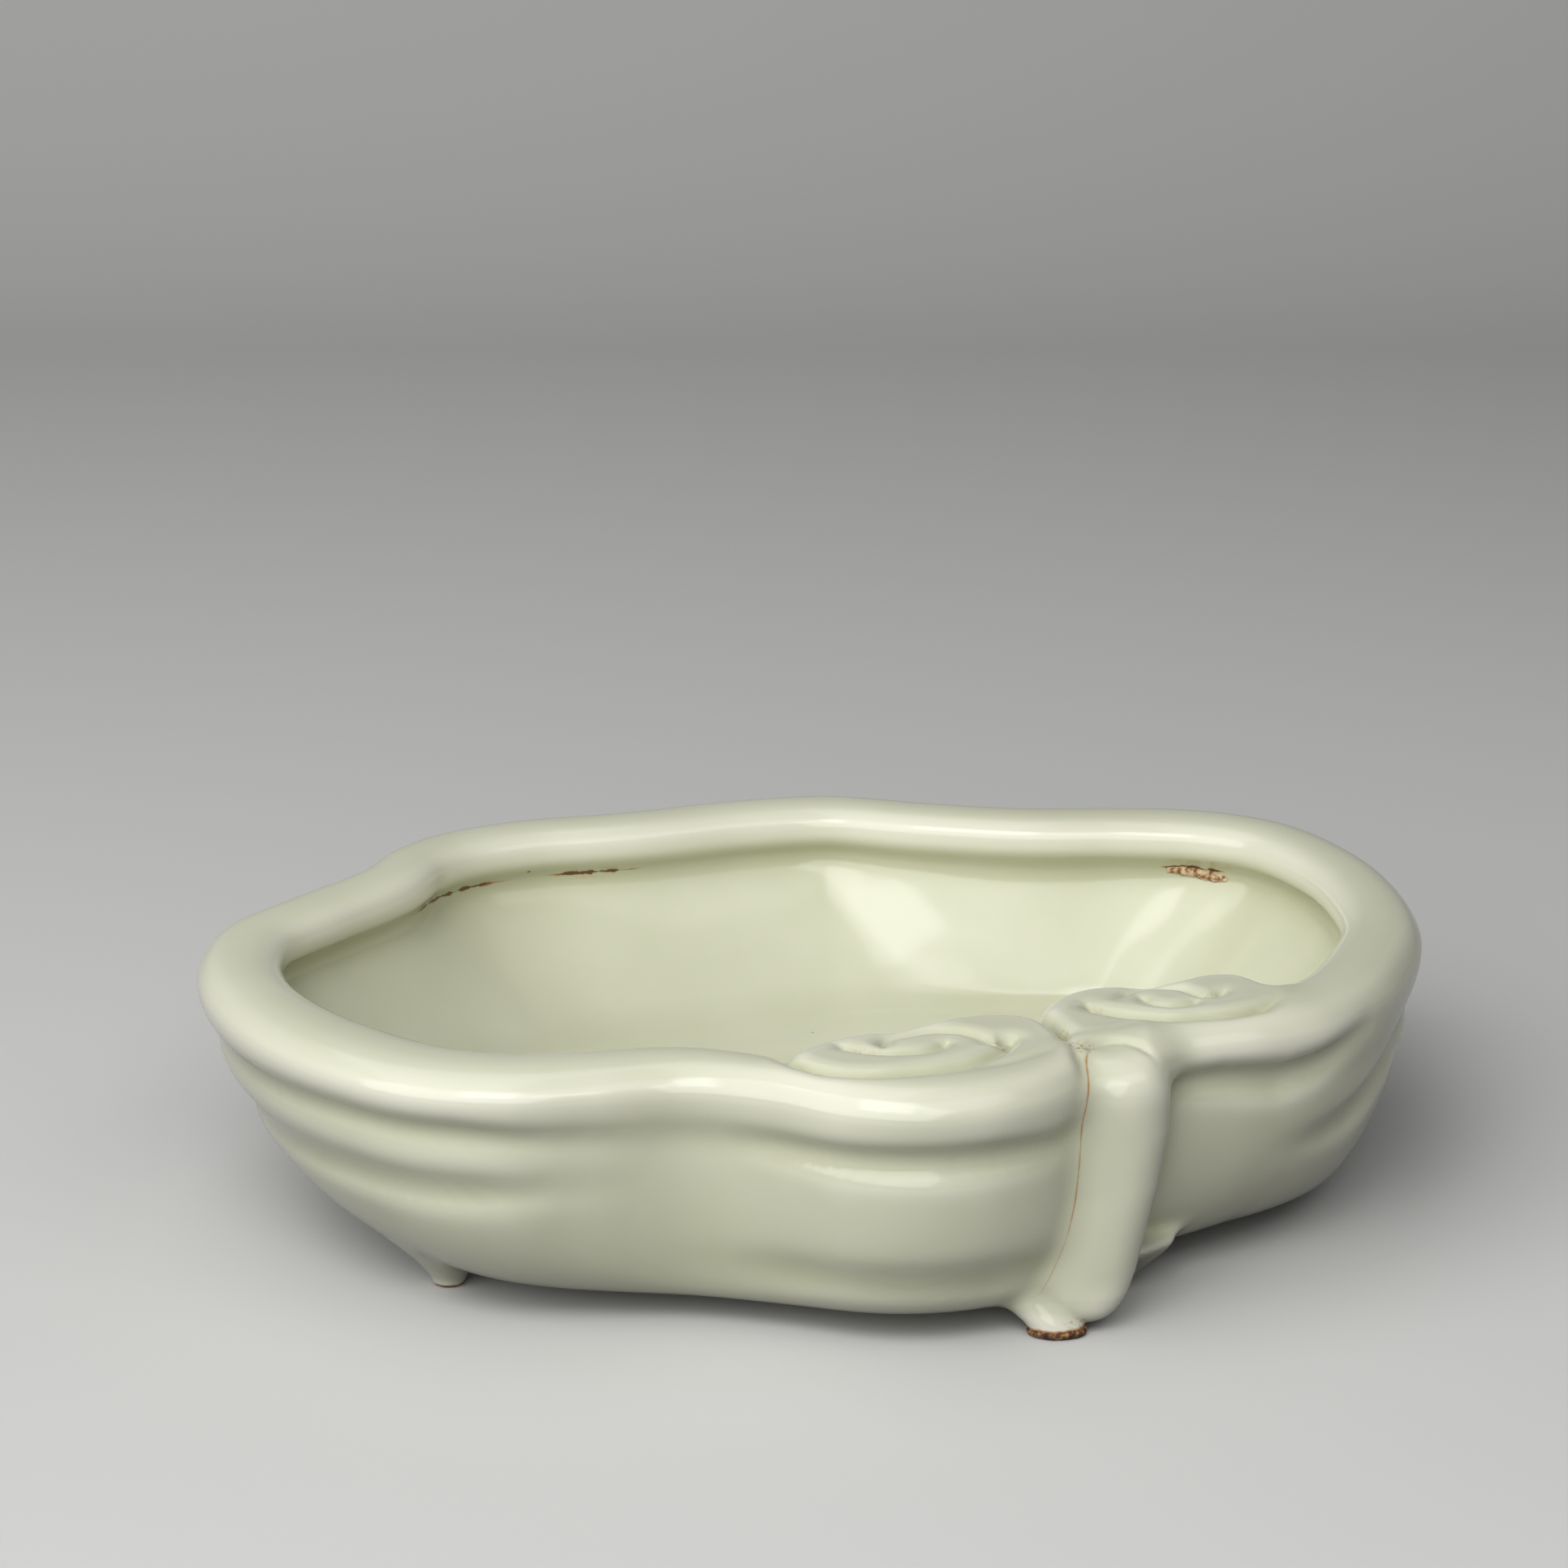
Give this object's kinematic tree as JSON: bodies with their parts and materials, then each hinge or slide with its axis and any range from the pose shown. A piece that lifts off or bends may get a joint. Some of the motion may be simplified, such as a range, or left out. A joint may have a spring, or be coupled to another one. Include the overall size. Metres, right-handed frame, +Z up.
{
  "type": "brush washer",
  "caption": "Low celadon brush washer in the form of a fungus cap: a lobed bowl with a rolled lip that curls into scrolls above a stalk, on short feet.",
  "frame": {"origin": "on the table under the middle of the washer's outline", "axes": "+Z up, +X along the washer's length with the shorter lobe at +X, -Y towards the side with the cleft and the stalk"},
  "size_m": [0.271, 0.2096, 0.0607],
  "materials": {
    "celadon_glaze": "glossy pale grey-green celadon glaze"
  },
  "bodies": {
    "root": {"bowl": "celadon_glaze", "rolled_lip": "celadon_glaze", "left_scroll": "celadon_glaze", "right_scroll": "celadon_glaze", "stalk": "celadon_glaze", "stalk_foot": "celadon_glaze", "left_foot": "celadon_glaze", "right_foot": "celadon_glaze", "back_foot": "celadon_glaze"}
  },
  "joints": []
}
